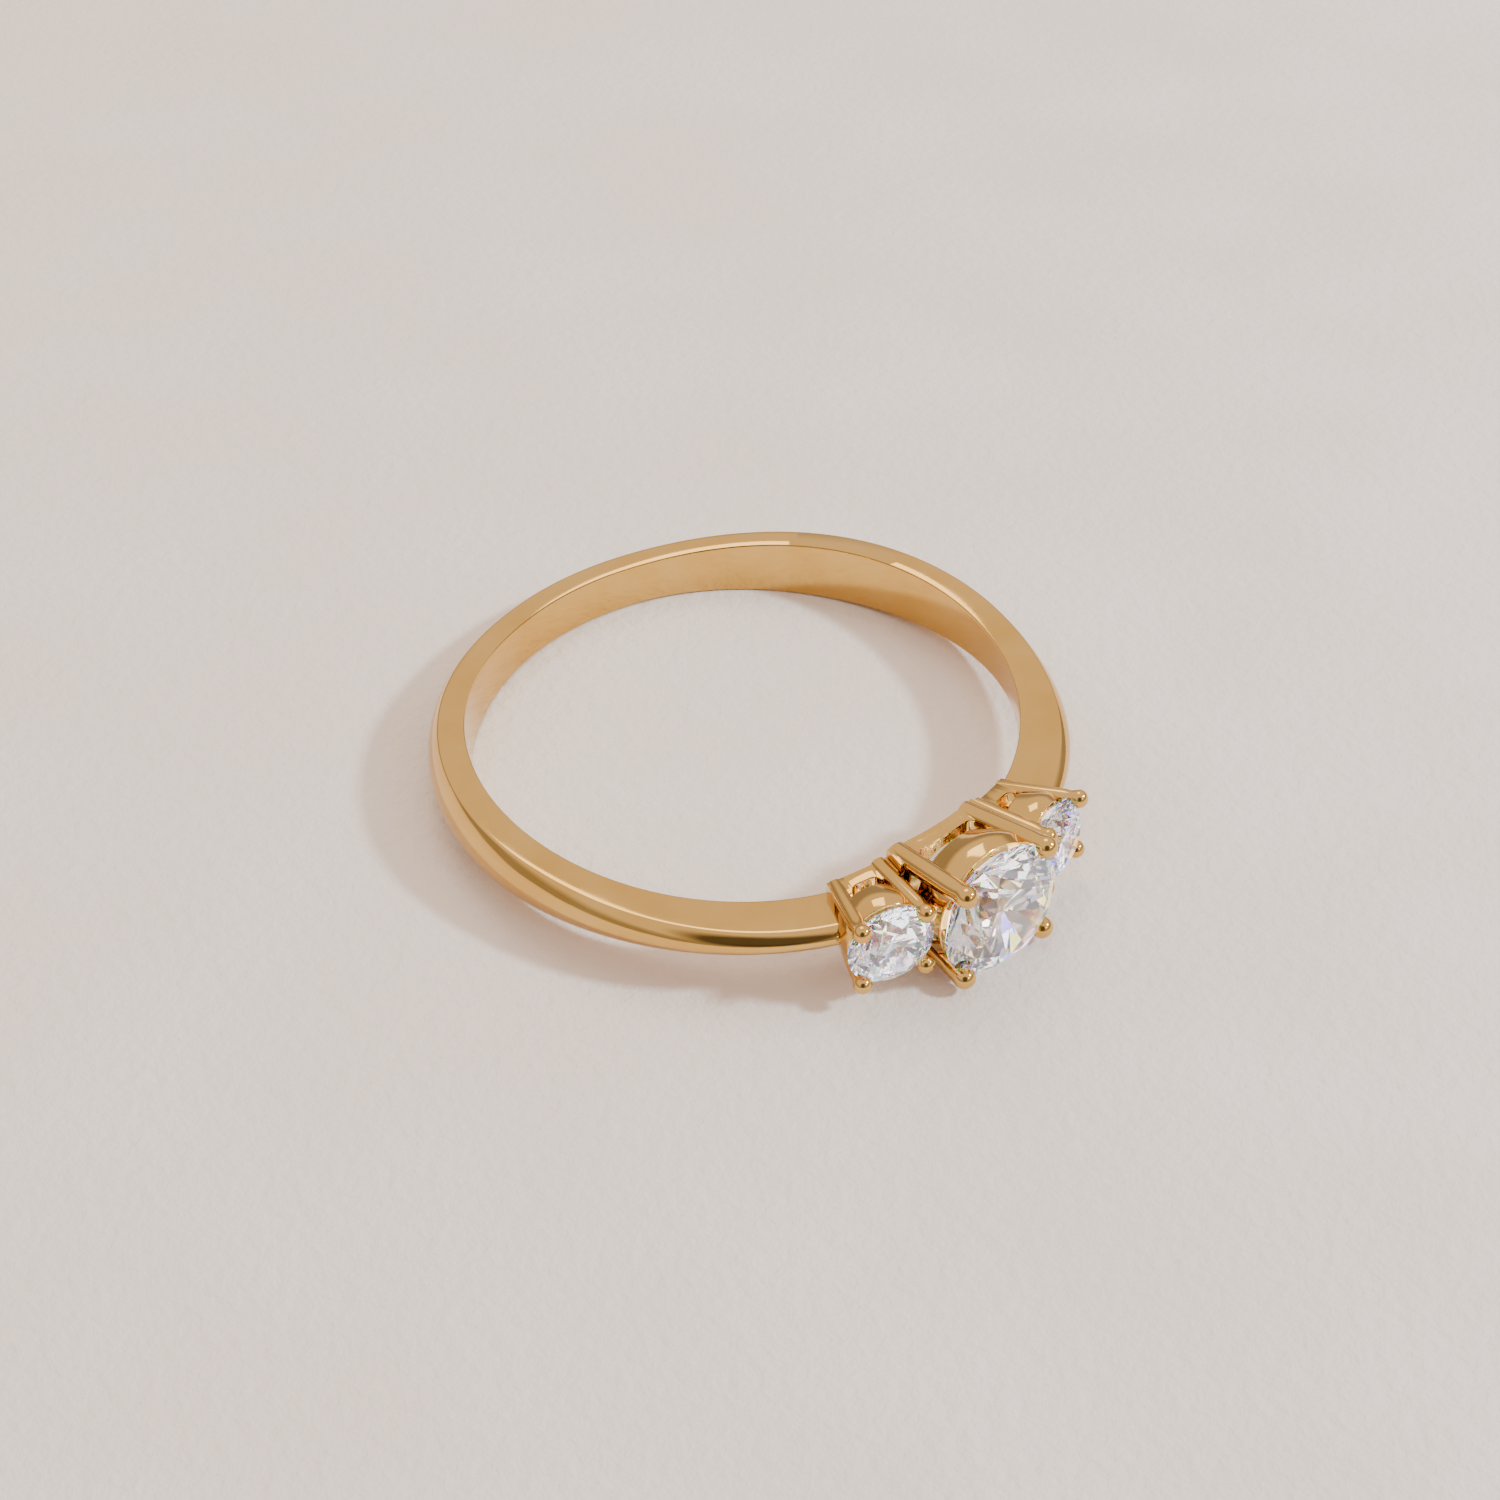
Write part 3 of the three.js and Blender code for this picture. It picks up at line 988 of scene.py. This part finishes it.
@dataclass(frozen=True)
class Studio:
    """Floor, lights and camera. Angles are degrees; azimuth 0 looks along +Y at the head."""

    azimuth: float = -37.98
    elevation: float = 39.03
    roll: float = -2.83
    aim_mm: tuple[float, float] = (-0.2137, -0.8099)
    distance_mm: float = 72.04
    lens_mm: float = 55.2
    sensor_mm: float = 36.0
    room: str = "FFEDE2"
    room_strength: float = 1.26
    shade_share: float = 0.12
    shade_from: float = 0.86
    shade_to: float = 0.94
    wall_share: float = 0.42
    wall_top: float = 0.42
    wall_fade: float = 0.2
    shade_way: tuple[float, float, float] = (-0.52, -0.66, 0.55)
    lights: tuple[SoftBox, ...] = (
        SoftBox("key", 42, 38, 0.035, 1.25, "DDEFFF"),
        SoftBox("top", 150, 62, 0.16, 0.25, "FFF2E6"),
        SoftBox("glint", 8, 30, 0.03, 0.06, "FFFFFF"),
    )

    def place_camera(self, placing: Matrix) -> None:
        """Puts the camera where it sees the ring lying across the frame, head to the right.

        Args:
            placing: The matrix from the ring's own frame to the part's frame.
        """
        tilt = math.radians(90 - self.elevation)
        look = (
            Matrix.Rotation(math.radians(self.azimuth), 4, "Z")
            @ Matrix.Rotation(tilt, 4, "X")
            @ Matrix.Rotation(math.radians(self.roll), 4, "Z")
        )
        across, down = self.aim_mm
        offset = Matrix.Translation(Vector((-across, down, self.distance_mm)) * MM)
        camera = bpy.data.cameras.new("camera")
        camera.lens = self.lens_mm
        camera.sensor_width = self.sensor_mm
        camera.clip_start = MM
        eye = bpy.data.objects.new("camera", camera)
        eye.matrix_world = placing @ look @ offset
        bpy.context.scene.collection.objects.link(eye)
        bpy.context.scene.camera = eye

    def lay_floor(self) -> None:
        """Lays the paper under the ring."""
        deselect()
        bpy.ops.mesh.primitive_plane_add(size=2.0, location=(0, 0, 0))
        floor = bpy.context.object
        floor.name = "floor"
        floor.data.materials.append(CottonPaper().make())

    def light(self) -> None:
        """Fills the room with soft light, darker on the side where a person stands, and hangs lights."""
        world = bpy.data.worlds.new("room")
        bpy.context.scene.world = world
        world.use_nodes = True
        tree = world.node_tree
        way = add_node(tree, "ShaderNodeTexCoord").outputs["Generated"]
        toward = add_node(
            tree,
            "ShaderNodeVectorMath",
            {"operation": "DOT_PRODUCT"},
            _0=way,
            _1=Vector(self.shade_way).normalized(),
        )
        shade = add_node(tree, "ShaderNodeValToRGB", Fac=toward.outputs["Value"])
        shade.color_ramp.elements[0].position = self.shade_from
        shade.color_ramp.elements[0].color = linear(self.room)
        shade.color_ramp.elements[1].position = self.shade_to
        shade.color_ramp.elements[1].color = [c * self.shade_share for c in linear(self.room)[:3]] + [1]
        height = add_node(tree, "ShaderNodeSeparateXYZ", Vector=way)
        walls = add_node(tree, "ShaderNodeValToRGB", Fac=height.outputs["Z"])
        walls.color_ramp.elements[0].position = self.wall_top - self.wall_fade
        walls.color_ramp.elements[0].color = [self.wall_share] * 3 + [1]
        walls.color_ramp.elements[1].position = self.wall_top
        both = add_node(
            tree,
            "ShaderNodeMix",
            {"data_type": "RGBA", "blend_type": "MULTIPLY"},
            _0=1.0,
            _6=shade.outputs["Color"],
            _7=walls.outputs["Color"],
        )
        backdrop = tree.nodes["Background"]
        tree.links.new(both.outputs[2], backdrop.inputs["Color"])
        backdrop.inputs["Strength"].default_value = self.room_strength
        for box in self.lights:
            box.hang()


def main() -> None:
    """Builds the pieces, the floor, the lights and the camera."""
    logging.basicConfig(level=logging.INFO, format="%(name)s: %(message)s")
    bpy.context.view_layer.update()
    placing = Placing()
    workshop = Workshop(placing.from_mm(), PolishedGold().make())
    diamond = CutDiamond().make()
    centre = Setting("centre", 0.0, placing.bore_mm)
    left = SideSetting("left", 0.0, placing.bore_mm)
    left.angle = -(centre.half_angle + placing.solder_angle() + left.half_angle)
    right = SideSetting("right", -left.angle, placing.bore_mm)
    Shank(placing.bore_mm, right).build(workshop)
    for setting in (centre, left, right):
        setting.build(workshop)
        stone = frame["nodes"][f"{setting.name}_stone"]
        stone.data.materials.clear()
        stone.data.materials.append(diamond)
        LOG.info("%s: kept, %d faces", stone.name, len(stone.data.polygons))
    studio = Studio()
    studio.lay_floor()
    studio.light()
    studio.place_camera(placing.matrix())


if __name__ == "__main__":
    main()
